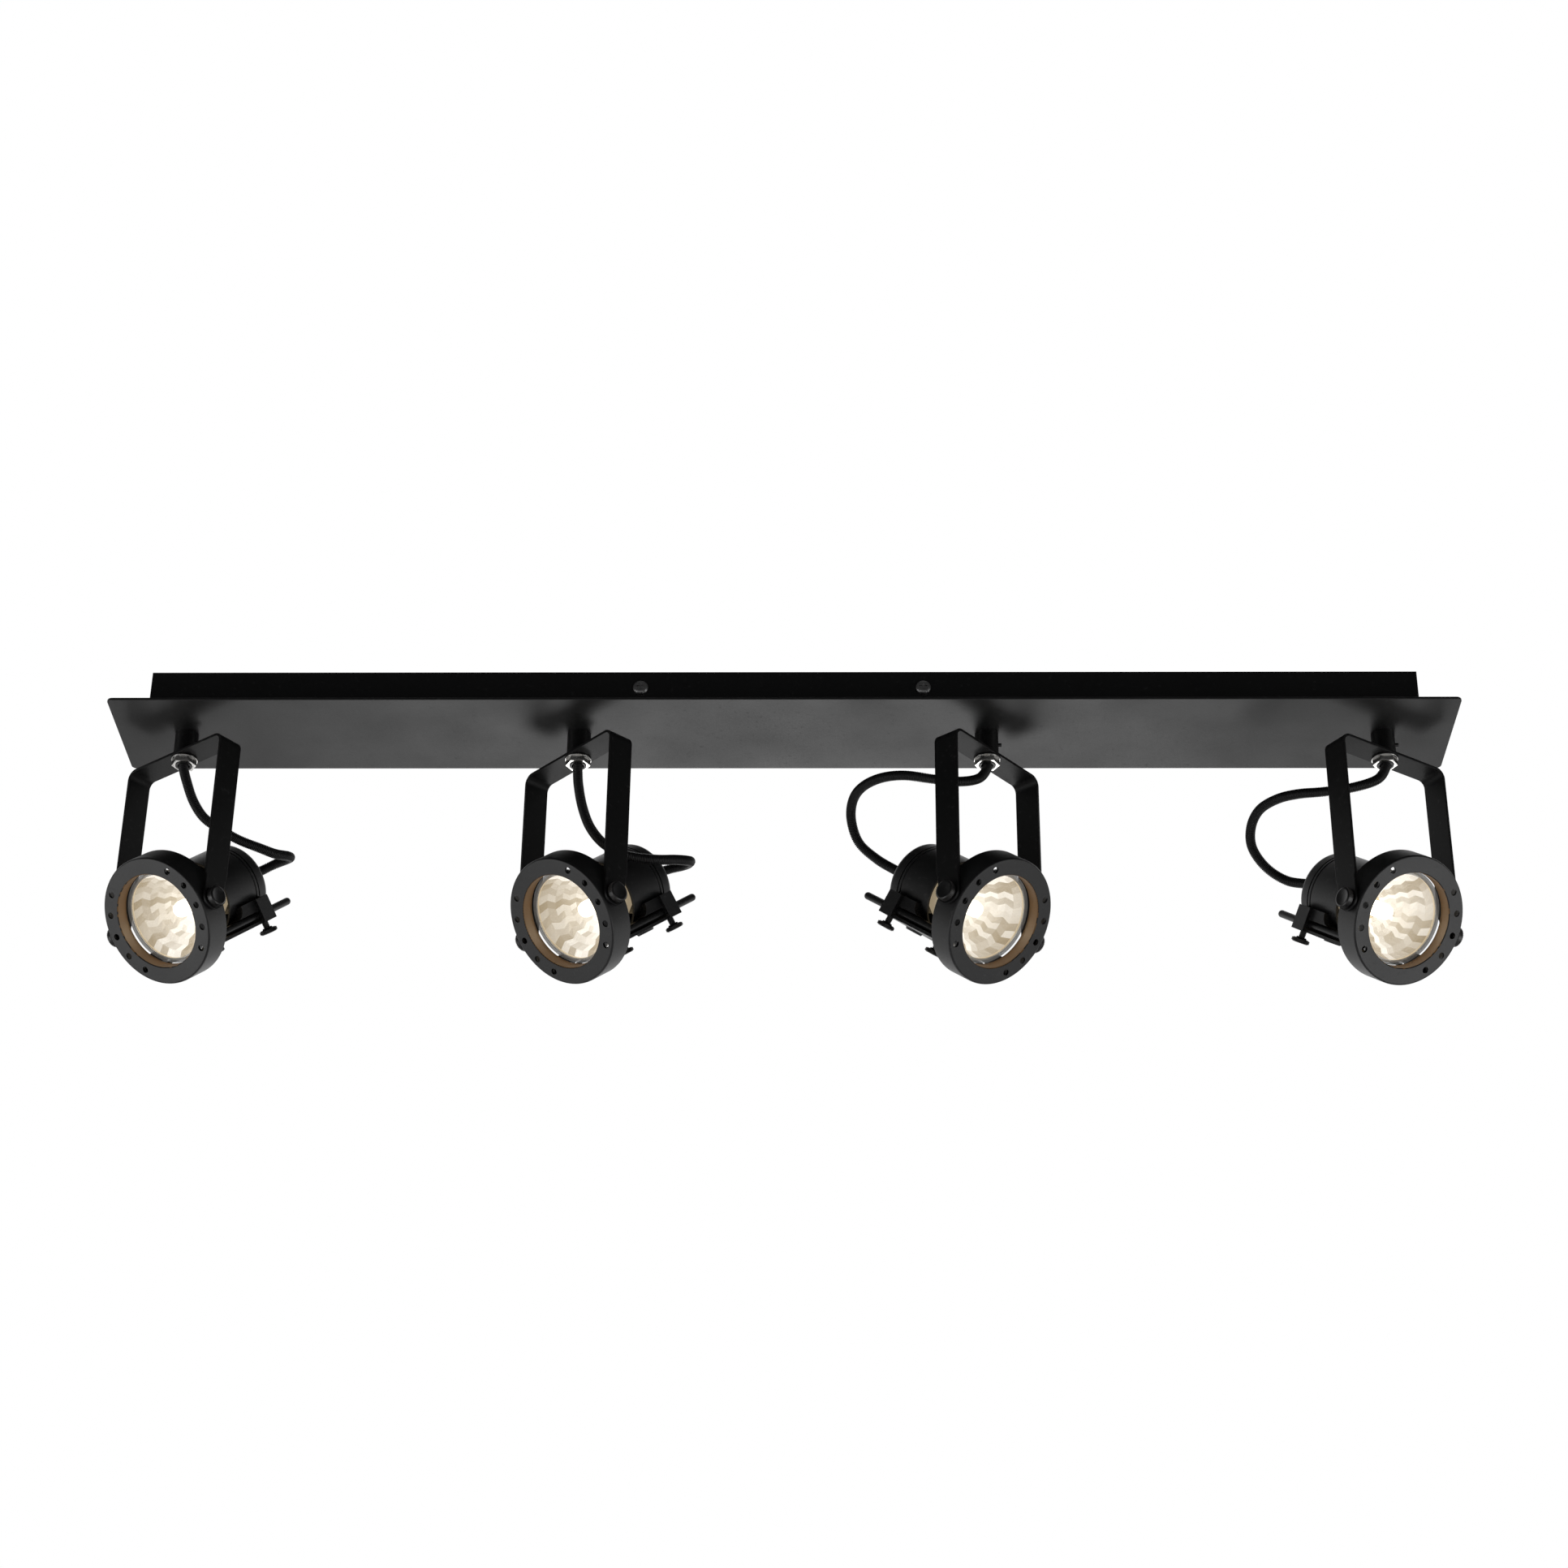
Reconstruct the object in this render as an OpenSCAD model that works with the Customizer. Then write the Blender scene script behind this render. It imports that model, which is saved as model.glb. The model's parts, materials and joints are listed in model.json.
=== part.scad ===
// Four-spot ceiling track light.
// The origin is the middle of the ceiling face, +Z is up, X runs along the bar and -Y is the front.

/* [Canopy] */
// Length of the face plate
plate_length = 710; // [700:1:900]
// Width of the face plate
plate_width = 72; // [66:1:110]
// Thickness of the face plate
plate_thickness = 1.5; // [1:0.1:3]
// Corner radius of the face plate
plate_corner = 3; // [1:0.5:8]
// How far the plate overhangs the box at each end
box_end_inset = 21; // [6:1:24]
// How far the plate overhangs the box along each side
box_side_inset = 7.5; // [4:0.5:12]
// Height of the box between ceiling and plate
box_height = 20; // [18:1:40]
// Thickness of the box's folded sheet
box_sheet = 1.2; // [0.8:0.1:2]
// Width of the flange that the box is spot-welded by
box_flange = 6; // [4:0.5:10]
// Distance of each side screw from the middle
cover_screw_x = 74.5; // [50:0.5:95]
// Head diameter of the side screws
cover_screw_head = 8; // [6:0.5:10]
// Thread diameter of the side screws
cover_screw_thread = 3.6; // [3:0.1:5]

/* [Ceiling bracket] */
// Length of the bracket that is screwed to the ceiling
bracket_length = 196; // [180:1:200]
// Thickness of the bracket's sheet
bracket_sheet = 1.5; // [1:0.1:2.5]
// Depth of the bracket's two side flanges
bracket_depth = 16; // [14:0.5:17]
// Gap between bracket and box
bracket_gap = 0.5; // [0.3:0.1:1]
// Distance between the two ceiling fixing holes
fixing_spacing = 150; // [120:1:160]
// Diameter of the ceiling fixing holes
fixing_hole = 5.2; // [4:0.1:7]
// Bore of the supply cable grommet
supply_bore = 9; // [7:0.5:12]
// Wall of the supply cable grommet
grommet_wall = 2; // [1.5:0.25:3]
// Length of the terminal block
terminal_length = 30; // [24:1:36]

/* [Spot positions] */
// Distance of the two inner stems from the middle
inner_stem = 108.5; // [104:0.5:125]
// Distance of the two outer stems from the middle
outer_stem = 318.5; // [290:0.5:322]
// Height of the tilt axis below the ceiling
pivot_drop = 131; // [125:1:160]
// Turn of each yoke at rest, first to fourth spot
rest_turn = [-37, -46.5, 50.5, 34.5];
// Tilt of each head at rest, first to fourth spot
rest_tilt = [41, 39, 38, 36.5];

/* [Stem] */
// Outer diameter of the stem
stem_diameter = 12.5; // [11.5:0.5:15]
// Outer diameter of the threaded nipple
nipple_diameter = 8.8; // [8.4:0.1:9.6]
// Bore of the threaded nipple
nipple_bore = 6.6; // [6.2:0.1:7]
// Width across the flats of the swivel nut
nut_flats = 11.6; // [11.2:0.2:16]
// Height of the swivel nut
nut_height = 3; // [2.4:0.2:8]
// Diameter of the washer above the nut
washer_diameter = 14; // [13.6:0.2:18]
// Thickness of the washer above the nut
washer_thickness = 0.8; // [0.6:0.1:2]
// Diameter of the pin that stops the yoke turning on and on
stop_pin = 2; // [1.5:0.25:2.5]

/* [Yoke] */
// Height of the yoke from the tilt axis to its top face
yoke_height = 96; // [80:1:100]
// Width of the yoke's strip
strip_width = 14.4; // [13:0.2:20]
// Thickness of the yoke's strip
strip_thickness = 1.5; // [1.2:0.1:3]
// Outer radius of the yoke's bends
bend_radius = 5.5; // [3:0.5:8]
// How much narrower the strip is at its ends
strip_step = 1.6; // [0.8:0.2:2.4]
// Gap between yoke leg and bezel
leg_gap = 0.3; // [0.3:0.1:1.5]

/* [Pivot knobs] */
// Diameter of the knobs
knob_diameter = 11; // [9:0.5:12.5]
// Height of the knobs
knob_height = 3.4; // [2.5:0.1:6]
// Diameter of the knobs' thread
knob_thread = 3.8; // [3:0.1:5]

/* [Bezel] */
// Outer diameter of the bezel
bezel_diameter = 68.4; // [68:0.2:76]
// Depth of the bezel
bezel_depth = 14.4; // [13:0.2:18]
// Wall of the bezel
bezel_wall = 1.4; // [1:0.1:2]
// Diameter of the light opening
opening_diameter = 50.2; // [46:0.2:50.4]
// Distance from the tilt axis forward to the bezel's front face
front_offset = 8; // [7.5:0.1:9]
// Wall of the collar round the opening
collar_wall = 1.2; // [0.8:0.1:1.6]
// Rounding of the bezel's front edge
bezel_round = 1; // [0.4:0.2:1.4]
// Diameter of the vent holes
vent_diameter = 3.5; // [2:0.1:4]
// Diameter of the circle that the vent holes lie on
vent_circle = 59.8; // [58.6:0.2:61]
// Angle from one vent hole to the next
vent_step = 22.75; // [18:0.25:23.5]
// Number of vent holes on each side
vent_count = 5; // [3:2:5]

/* [Lamp] */
// Diameter of the reflector lamp
lamp_diameter = 50.7; // [50.4:0.1:51]
// Height of the lamp's rim
lamp_rim = 2; // [1.5:0.1:3]
// Length of the lamp behind its front glass, without the pins
lamp_length = 46; // [44:0.5:47]
// Distance between the lamp's two pins
pin_spacing = 10; // [9:0.5:11]
// Diameter of the lamp's pins
pin_diameter = 4.6; // [4:0.1:5]
// Diameter of the lampholder
holder_diameter = 27; // [24:0.5:30]

/* [Lamp housing] */
// Outer diameter of the lamp housing
barrel_diameter = 44.4; // [43.6:0.2:46]
// Wall of the lamp housing
barrel_wall = 1.2; // [0.8:0.1:1.8]
// Distance from the tilt axis back to the housing's open edge
barrel_front = 25; // [22:0.5:27]
// Distance from the tilt axis back to the rear face
barrel_rear = 58; // [57:0.5:64]
// Length of the rear cap
cap_length = 7.3; // [6:0.1:9]
// Width of the grooves in the housing
groove_width = 0.8; // [0.6:0.1:1.2]
// Depth of the groove in the housing
groove_depth = 0.5; // [0.3:0.1:0.7]
// Edge rounding of the rear cap
cap_round = 3; // [1:0.5:4]
// Length of the strain relief behind the rear cap
relief_length = 9; // [6:1:14]

/* [Slide carriage] */
// Half of the width of the cross bar
bar_half_width = 24.5; // [23.5:0.5:26]
// Length of the cross bar along the housing
bar_length = 9.5; // [8:0.5:12]
// Distance from the cross bar's rear face forward from the housing's rear face
bar_inset = 7.5; // [6:0.5:9]
// Height of the cross bar's shoulder below the housing's axis
bar_top = 11.2; // [9:0.2:14]
// Depth of the cross bar's underside below the housing's axis
bar_bottom = 24.1; // [23.6:0.1:26]
// How far the shelf and floor stand inside the cross bar's side faces
shelf_inset = 2; // [1:0.2:3]
// Length of the shelf at its top edge
shelf_length = 10.5; // [8:0.5:13]
// Thickness of the floor plate
floor_thickness = 1.6; // [1.2:0.1:2.4]
// Gap between floor plate and bezel
floor_gap = 1.6; // [1:0.2:4]
// How far the carriage slides back on its rods
slide_travel = 10; // [6:1:10]

/* [Guide rods] */
// Diameter of the guide rods
rod_diameter = 4; // [3:0.2:4.6]
// Distance of each guide rod from the middle plane
rod_side = 20; // [19.6:0.1:20.6]
// Distance of the guide rods below the housing's axis
rod_drop = 19.6; // [19.2:0.1:20]
// How far the rods reach behind the cross bar
rod_overhang = 19; // [15:0.5:24]
// Running clearance round the rods, as a difference of diameters
rod_clearance = 0.2; // [0.1:0.02:0.3]

/* [Thumbscrews] */
// Diameter of the clamp thumbscrews
thumb_diameter = 9.6; // [8:0.2:12]
// Height of the clamp thumbscrews' heads
thumb_height = 3.2; // [2.5:0.1:4]
// Diameter of the clamp thumbscrews' threads
thumb_thread = 3.6; // [3:0.1:4]
// Bare thread that shows between head and cross bar
thumb_reach = 3.2; // [2:0.2:5]

/* [Leads] */
// Diameter of the sleeved leads
lead_diameter = 5.4; // [4.8:0.1:5.8]

/* [Hidden] */
$fn = 64;

eps = 0.05;                 // overlap that joins shapes of one piece, and runs cuts past a face
body_gap = 0.3;             // air between pieces that move against each other
thread_clearance = 0.2;     // a thread's hole is this much wider than the thread

// Canopy
box_length = plate_length - 2 * box_end_inset;
box_width = plate_width - 2 * box_side_inset;
plate_bottom = -box_height - plate_thickness;
bracket_width = box_width - 2 * box_sheet - 2 * bracket_gap;
cover_screw_z = -box_height / 2;
cover_screw_pan = 2.2;
cover_screw_reach = 6;
terminal_size = [terminal_length, 16, 9];
terminal_x = 45;
terminal_poles = 3;
grommet_flange = 1.6;
nipple_top = 6;             // how far a nipple stands above the plate
nipple_lock = 3;            // height of the lock nut above the plate
lock_nut = nipple_diameter + 5;
seat_gap = 0.02;            // hairline left between pieces that are pressed together

// Stems and yokes
stem_x = [-outer_stem, -inner_stem, inner_stem, outer_stem];
yoke_top = -pivot_drop + yoke_height;
stem_bottom = yoke_top + body_gap;
washer_top = yoke_top - strip_thickness - body_gap;
nut_top = washer_top - washer_thickness;
nut_bottom = nut_top - nut_height;
nipple_proud = 0.5;
nipple_end = nut_bottom - nipple_proud;
nipple_hole = nipple_diameter + 0.6;
stop_pin_length = 1.6;
bezel_radius = bezel_diameter / 2;
leg_inner = bezel_radius + leg_gap;
leg_outer = leg_inner + strip_thickness;
knob_hole = knob_thread + 2 * thread_clearance;
step_top = 13;              // height at which the strip starts to narrow
step_bottom = 11;

// Bezel and lamp
wall_inner = bezel_radius - bezel_wall;
opening_radius = opening_diameter / 2;
collar_outer = opening_radius + collar_wall;
collar_depth = front_offset - 1;
lamp_radius = lamp_diameter / 2;
lamp_pocket = lamp_radius + 0.25;
insert_radius = 4;
insert_height = 2.5;
lug_width = 8;
lug_front = -1;
lug_rear = 5;
lug_root = 0.6;             // how deep a lug runs into the bezel's wall
lamp_profile = [[24.3, 0], [22.4, 8], [19.8, 16], [16.8, 24], [13.6, 31], [11, 36]];
lamp_neck = 10;
pin_length = 6;
holder_top = lamp_length + 0.3;

// Lamp housing
barrel_radius = barrel_diameter / 2;
barrel_inner = barrel_radius - barrel_wall;
cap_front = barrel_rear - cap_length;
barrel_end = cap_front - groove_width;
groove_at = barrel_end - 2.4;
spigot_length = 4;
spigot_radius = barrel_inner - 0.05;
cap_wall = 1.6;
relief_base_radius = 6;
relief_base = 3;
relief_tip_radius = 4;
lead_bore = lead_diameter + 0.6;
holder_length = 7.5;

// Carriage
bar_rear = barrel_rear - bar_inset;
bar_front = bar_rear - bar_length;
shelf_half_width = bar_half_width - shelf_inset;
shelf_front = bar_front - shelf_length;
shelf_bottom = rod_drop - rod_diameter / 2 - 0.3;
floor_front = bezel_depth - front_offset + floor_gap;
cast_clearance = 0.05;
lamp_clearance_radius = 23.2;
fixing_head_radius = 5;
fixing_head_height = 1.1;
rod_front = 0;
rod_rear = bar_rear + rod_overhang;
thumb_y = (bar_front + bar_rear) / 2 - 0.75;
thumb_gap = 0.15;           // between a thumbscrew's end and its rod
thumb_top = -bar_bottom - thumb_reach;

// Leads, in each yoke's own frame with the tilt axis at the origin, from nut towards the rear cap
lead_sides = 10;
lead_route_1 = [[2, 2, 80], [4, 6, 70], [8, 11, 61], [14, 18, 55], [19, 27, 51],
                [24, 37, 49], [26, 47, 49], [24, 58, 53], [17, 65, 57], [7, 65, 57]];
lead_route_2 = [[0, 1, 79], [2, 3, 65], [6, 6, 52], [13, 11, 41], [21, 20, 35],
                [28, 33, 35], [29, 45, 39], [27, 55, 43], [20, 63, 48], [9, 68, 52]];
lead_route_3 = [[-5, 2, 81], [-16, 7, 76], [-27, 16, 76], [-35, 28, 79], [-38, 41, 81],
                [-36, 55, 82], [-30, 67, 81], [-21, 76, 76], [-11, 79, 67], [-3, 73, 58]];
lead_route_4 = [[-5, 2, 81], [-16, 9, 76], [-27, 20, 75], [-34, 32, 77], [-37, 45, 79],
                [-37, 59, 79], [-32, 72, 76], [-24, 81, 70], [-13, 83, 62], [-4, 77, 54]];
lead_routes = [lead_route_1, lead_route_2, lead_route_3, lead_route_4];
lead_top = pivot_drop + nipple_end;
lead_inside = 4;            // how far a lead's ends run on inside the nipple and the rear cap

module at_yoke(spot) {
  translate([stem_x[spot - 1], 0, -pivot_drop]) rotate([0, 0, rest_turn[spot - 1]]) children();
}

module at_head(spot) {
  at_yoke(spot) rotate([rest_tilt[spot - 1], 0, 0]) children();
}

// Turns a shape drawn along +Z so that it runs back along +Y from y
module along_back(y) {
  translate([0, y, 0]) rotate([-90, 0, 0]) children();
}

// A straight cylinder along Y from y1 to y2
module back_cylinder(r, y1, y2) {
  along_back(y1) cylinder(r = r, h = y2 - y1);
}

module box_between(low, high) {
  translate(low) cube(high - low);
}

module rounded_plate(length, width, radius, thickness) {
  linear_extrude(thickness) union() {
    square([length - 2 * radius, width], center = true);
    square([length, width - 2 * radius], center = true);
    for (x = [-1, 1], y = [-1, 1])
      translate([x * (length / 2 - radius), y * (width / 2 - radius)]) circle(radius);
  }
}

module cover_screw_places() {
  for (x = [-cover_screw_x, cover_screw_x], side = [-1, 1])
    translate([x, side * box_width / 2, cover_screw_z]) rotate([side * -90, 0, 0]) children();
}

module canopy_box() {
  color("#191919") difference() {
    translate([-box_length / 2, -box_width / 2, -box_height]) cube([box_length, box_width, box_height]);
    translate([-box_length / 2 + box_sheet, -box_width / 2 + box_sheet, -box_height + box_sheet])
      cube([box_length - 2 * box_sheet, box_width - 2 * box_sheet, box_height]);
    translate([-box_length / 2 + box_flange, -box_width / 2 + box_flange, -box_height - eps])
      cube([box_length - 2 * box_flange, box_width - 2 * box_flange, box_sheet + 2 * eps]);
    cover_screw_places()
      translate([0, 0, -box_sheet - eps]) cylinder(d = cover_screw_thread + thread_clearance, h = box_sheet + 2 * eps);
  }
}

module face_plate() {
  color("#1b1b1b") difference() {
    translate([0, 0, plate_bottom]) rounded_plate(plate_length, plate_width, plate_corner, plate_thickness);
    for (x = stem_x)
      translate([x, 0, plate_bottom - eps]) cylinder(d = nipple_diameter + thread_clearance, h = plate_thickness + 2 * eps);
  }
}

module mounting_bracket() {
  half_length = bracket_length / 2;
  half_width = bracket_width / 2;
  grommet_radius = supply_bore / 2 + grommet_wall;
  color("#b9b9b6") difference() {
    union() {
      box_between([-half_length, -half_width, -bracket_sheet], [half_length, half_width, 0]);
      for (side = [-1, 1])
        box_between([-half_length, side * (half_width - bracket_sheet / 2) - bracket_sheet / 2, -bracket_depth],
                    [half_length, side * (half_width - bracket_sheet / 2) + bracket_sheet / 2, 0]);
    }
    for (x = [-1, 1])
      translate([x * fixing_spacing / 2, 0, -bracket_sheet - eps]) cylinder(d = fixing_hole, h = bracket_sheet + 2 * eps);
    translate([0, 0, -bracket_sheet - eps]) cylinder(r = grommet_radius, h = bracket_sheet + 2 * eps);
    cover_screw_places()
      translate([0, 0, -box_sheet - bracket_gap - bracket_sheet - 1])
        cylinder(d = cover_screw_thread + eps, h = bracket_sheet + 2);
  }
}

module cover_screws() {
  slot_width = 1;
  color("#2b2b2b") cover_screw_places() difference() {
    union() {
      translate([0, 0, -cover_screw_reach]) cylinder(d = cover_screw_thread, h = cover_screw_reach + eps);
      rotate_extrude() polygon([[0, 0], [cover_screw_head / 2, 0], [cover_screw_head / 2, cover_screw_pan - 1.2],
                                [cover_screw_head / 2 - 0.6, cover_screw_pan - 0.4],
                                [cover_screw_head / 2 - 1.8, cover_screw_pan], [0, cover_screw_pan]]);
    }
    for (turn = [0, 90]) rotate([0, 0, turn])
      translate([-cover_screw_head / 4, -slot_width / 2, cover_screw_pan - 1.2])
        cube([cover_screw_head / 2, slot_width, 2]);
  }
}

module terminal_block() {
  pole_pitch = terminal_size[0] / terminal_poles;
  color("#e4e2da") translate([terminal_x, 0, -bracket_sheet - terminal_size[2]]) difference() {
    translate([-terminal_size[0] / 2, -terminal_size[1] / 2, 0]) cube(terminal_size);
    for (pole = [0:terminal_poles - 1])
      translate([(pole - (terminal_poles - 1) / 2) * pole_pitch, 0, 0]) {
        rotate([90, 0, 0]) translate([0, terminal_size[2] / 2, -terminal_size[1]])
          cylinder(d = 4, h = 2 * terminal_size[1], $fn = 24);
        for (y = [-1, 1]) translate([0, y * terminal_size[1] / 4, -eps]) cylinder(d = 3.4, h = 3, $fn = 24);
      }
  }
}

module supply_grommet() {
  bore = supply_bore / 2;
  sleeve = bore + grommet_wall - eps;
  flange = sleeve + grommet_wall;
  color("#111111") rotate_extrude()
    polygon([[bore, 0], [sleeve, 0], [sleeve, -bracket_sheet - seat_gap], [flange, -bracket_sheet - seat_gap],
             [flange, -bracket_sheet - grommet_flange], [bore, -bracket_sheet - grommet_flange]]);
}

module swivel_stems() {
  color("#1c1c1c") for (x = stem_x) translate([x, 0, 0]) difference() {
    union() {
      translate([0, 0, stem_bottom]) cylinder(d = stem_diameter, h = plate_bottom - stem_bottom);
      translate([0, 0, nipple_end]) cylinder(d = nipple_diameter, h = nipple_top - nipple_end - box_height);
      translate([0, 0, -box_height + seat_gap]) cylinder(d = lock_nut, h = nipple_lock, $fn = 6);
      translate([0, 0, (plate_bottom + stem_bottom) / 2]) rotate([0, 90, 0])
        cylinder(d = stop_pin, h = stem_diameter / 2 + stop_pin_length, $fn = 32);
    }
    translate([0, 0, nipple_end - eps]) cylinder(d = nipple_bore, h = 2 * box_height + yoke_height);
  }
}

module swivel_nuts() {
  bore = nipple_diameter + 2 * eps;
  color("#b8b8ba") for (x = stem_x) translate([x, 0, 0]) difference() {
    union() {
      translate([0, 0, nut_top]) cylinder(d = washer_diameter, h = washer_thickness);
      translate([0, 0, nut_bottom]) cylinder(d = nut_flats / cos(30), h = nut_height + eps, $fn = 6);
    }
    translate([0, 0, nut_bottom - eps]) cylinder(d = bore, h = nut_height + washer_thickness + 2 * eps);
  }
}

module yoke(spot) {
  leg_top = yoke_height - bend_radius;
  end_radius = (strip_width - strip_step) / 2;
  color("#1d1d1d") at_yoke(spot) difference() {
    union() {
      box_between([-leg_outer + bend_radius, -strip_width / 2, yoke_height - strip_thickness],
                  [leg_outer - bend_radius, strip_width / 2, yoke_height]);
      for (side = [0, 180]) {
        rotate([0, 0, side]) {
          intersection() {
            translate([leg_outer - bend_radius, strip_width / 2, leg_top]) rotate([90, 0, 0]) difference() {
              cylinder(r = bend_radius, h = strip_width);
              translate([0, 0, -eps]) cylinder(r = bend_radius - strip_thickness, h = strip_width + 2 * eps);
            }
            box_between([leg_outer - bend_radius, -strip_width, leg_top], [leg_outer + 1, strip_width, yoke_height + 1]);
          }
          translate([leg_inner, 0, 0]) rotate([90, 0, 90]) linear_extrude(strip_thickness) union() {
            circle(end_radius);
            translate([-end_radius, 0]) square([2 * end_radius, step_bottom]);
            polygon([[-end_radius, step_bottom], [end_radius, step_bottom],
                     [strip_width / 2, step_top], [strip_width / 2, leg_top],
                     [-strip_width / 2, leg_top], [-strip_width / 2, step_top]]);
          }
        }
      }
    }
    translate([0, 0, yoke_height - strip_thickness - 1]) cylinder(d = nipple_hole, h = strip_thickness + 2);
    for (side = [0, 180]) rotate([0, 0, side])
      translate([leg_inner - 1, 0, 0]) rotate([0, 90, 0]) cylinder(d = knob_hole, h = strip_thickness + 2);
  }
}

// Ring outline: [radius, distance behind the front face]
function bezel_outline() = concat(
  [[opening_radius, collar_depth], [opening_radius, 0.4], [opening_radius + 0.4, 0]],
  [for (a = [90:-15:0]) [bezel_radius - bezel_round + bezel_round * cos(a), bezel_round - bezel_round * sin(a)]],
  [[bezel_radius, bezel_depth], [wall_inner, bezel_depth], [wall_inner, bezel_wall],
   [collar_outer, bezel_wall], [collar_outer, collar_depth]]);

module bezel(spot) {
  lug_angle = atan2(rod_drop, rod_side);
  vent_radius = vent_circle / 2;
  color("#1f1f1f") at_head(spot) difference() {
    union() {
      along_back(-front_offset) rotate_extrude($fn = 120) polygon(bezel_outline());
      for (side = [0, 180]) rotate([0, 0, side])
        translate([wall_inner - insert_height, 0, 0]) rotate([0, 90, 0])
          cylinder(r = insert_radius, h = insert_height + bezel_wall / 2);
      for (side = [-1, 1])
        rotate([0, 90 + side * (90 - lug_angle), 0])
          box_between([opening_radius, lug_front, -lug_width / 2], [wall_inner + lug_root, lug_rear, lug_width / 2]);
    }
    along_back(-front_offset + collar_depth) cylinder(r = lamp_pocket, h = bezel_depth);
    for (side = [0, 180]) rotate([0, 0, side])
      translate([wall_inner - insert_height - 1, 0, 0]) rotate([0, 90, 0])
        cylinder(d = knob_thread + thread_clearance, h = bezel_radius);
    for (side = [0, 180], hole = [0:vent_count - 1])
      rotate([0, side + (hole - (vent_count - 1) / 2) * vent_step, 0])
        translate([vent_radius, 0, 0]) back_cylinder(vent_diameter / 2, -front_offset - 1, -front_offset + bezel_wall + eps);
    for (side = [-1, 1])
      translate([side * rod_side, 0, -rod_drop]) back_cylinder(rod_diameter / 2 + seat_gap, rod_front, lug_rear + 1);
  }
}

module guide_rods(spot) {
  tip = rod_diameter / 2;
  color("#1a1a1a") at_head(spot) for (side = [-1, 1])
    translate([side * rod_side, rod_front + seat_gap, -rod_drop]) rotate([-90, 0, 0])
      rotate_extrude() polygon(concat([[0, 0], [tip, 0]],
        [for (a = [0:15:75]) [tip * cos(a), rod_rear - rod_front - tip + tip * sin(a)]], [[0, rod_rear - rod_front]]));
}

module lamp(spot) {
  color("#f3e7c8") at_head(spot) union() {
    along_back(0) rotate_extrude($fn = 96) polygon(concat(
      [[0, 0], [lamp_radius - 0.5, 0], [lamp_radius, 0.5], [lamp_radius, lamp_rim]],
      [for (p = lamp_profile) [p[0], p[1] + lamp_rim]],
      [[lamp_neck, lamp_length - 6], [lamp_neck, lamp_length], [0, lamp_length]]));
    for (side = [-1, 1])
      translate([side * pin_spacing / 2, 0, 0]) back_cylinder(pin_diameter / 2, lamp_length - eps, lamp_length + pin_length);
  }
}

module lampholder(spot) {
  color("#efece4") at_head(spot) difference() {
    back_cylinder(holder_diameter / 2, holder_top, holder_top + holder_length);
    for (side = [-1, 1])
      translate([side * pin_spacing / 2, 0, 0])
        back_cylinder(pin_diameter / 2 + 0.2, holder_top - eps, holder_top + pin_length + 0.5);
  }
}

module barrel(spot) {
  color("#1e1e1e") at_head(spot) difference() {
    back_cylinder(barrel_radius, barrel_front, barrel_end);
    back_cylinder(barrel_inner, barrel_front - 1, barrel_end + 1);
    difference() {
      back_cylinder(barrel_radius + 1, groove_at, groove_at + groove_width);
      back_cylinder(barrel_radius - groove_depth, groove_at - 1, groove_at + groove_width + 1);
    }
  }
}

module rear_cap(spot) {
  inside = barrel_inner - 1.5;
  color("#1e1e1e") at_head(spot) along_back(cap_front) rotate_extrude() polygon(concat(
    [[inside, -spigot_length], [spigot_radius, -spigot_length], [spigot_radius, 0], [barrel_radius, 0]],
    [for (a = [0:15:90]) [barrel_radius - cap_round + cap_round * cos(a), cap_length - cap_round + cap_round * sin(a)]],
    [[relief_base_radius, cap_length], [relief_base_radius, cap_length + relief_base],
     [relief_base_radius - 0.8, cap_length + relief_base], [relief_tip_radius, cap_length + relief_length],
     [lead_bore / 2, cap_length + relief_length], [lead_bore / 2, cap_length - cap_wall],
     [inside, cap_length - cap_wall]]));
}

// Side view of the shelf as [distance back, height], with its hollow front edge
function shelf_outline() = concat(
  [[bar_front + eps, -bar_top], [shelf_front, -bar_top]],
  [for (a = [10:10:80]) [shelf_front - 6 + 6 * cos(a), -bar_top - (shelf_bottom - bar_top) * sin(a)]],
  [[shelf_front - 6, -shelf_bottom], [bar_front + eps, -shelf_bottom]]);

module saddle(spot) {
  color("#1b1b1b") at_head(spot) difference() {
    union() {
      box_between([-bar_half_width, bar_front, -bar_bottom], [bar_half_width, bar_rear, -bar_top]);
      translate([-shelf_half_width, 0, 0]) rotate([90, 0, 90]) linear_extrude(2 * shelf_half_width) polygon(shelf_outline());
      box_between([-shelf_half_width, floor_front, -bar_bottom],
                  [shelf_half_width, bar_front + eps, -bar_bottom + floor_thickness]);
      translate([0, thumb_y, -bar_bottom - fixing_head_height])
        cylinder(r1 = fixing_head_radius - 0.6, r2 = fixing_head_radius, h = fixing_head_height + eps);
    }
    back_cylinder(barrel_radius + cast_clearance, barrel_front - eps, barrel_rear);
    back_cylinder(lamp_clearance_radius, 0, barrel_front);
    for (side = [-1, 1]) {
      translate([side * rod_side, 0, -rod_drop])
        back_cylinder((rod_diameter + rod_clearance) / 2, floor_front - 1, bar_rear + 1);
      translate([side * rod_side, thumb_y, -bar_bottom - 1])
        cylinder(d = thumb_thread + thread_clearance, h = bar_bottom - rod_drop + 1);
    }
  }
}

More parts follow.
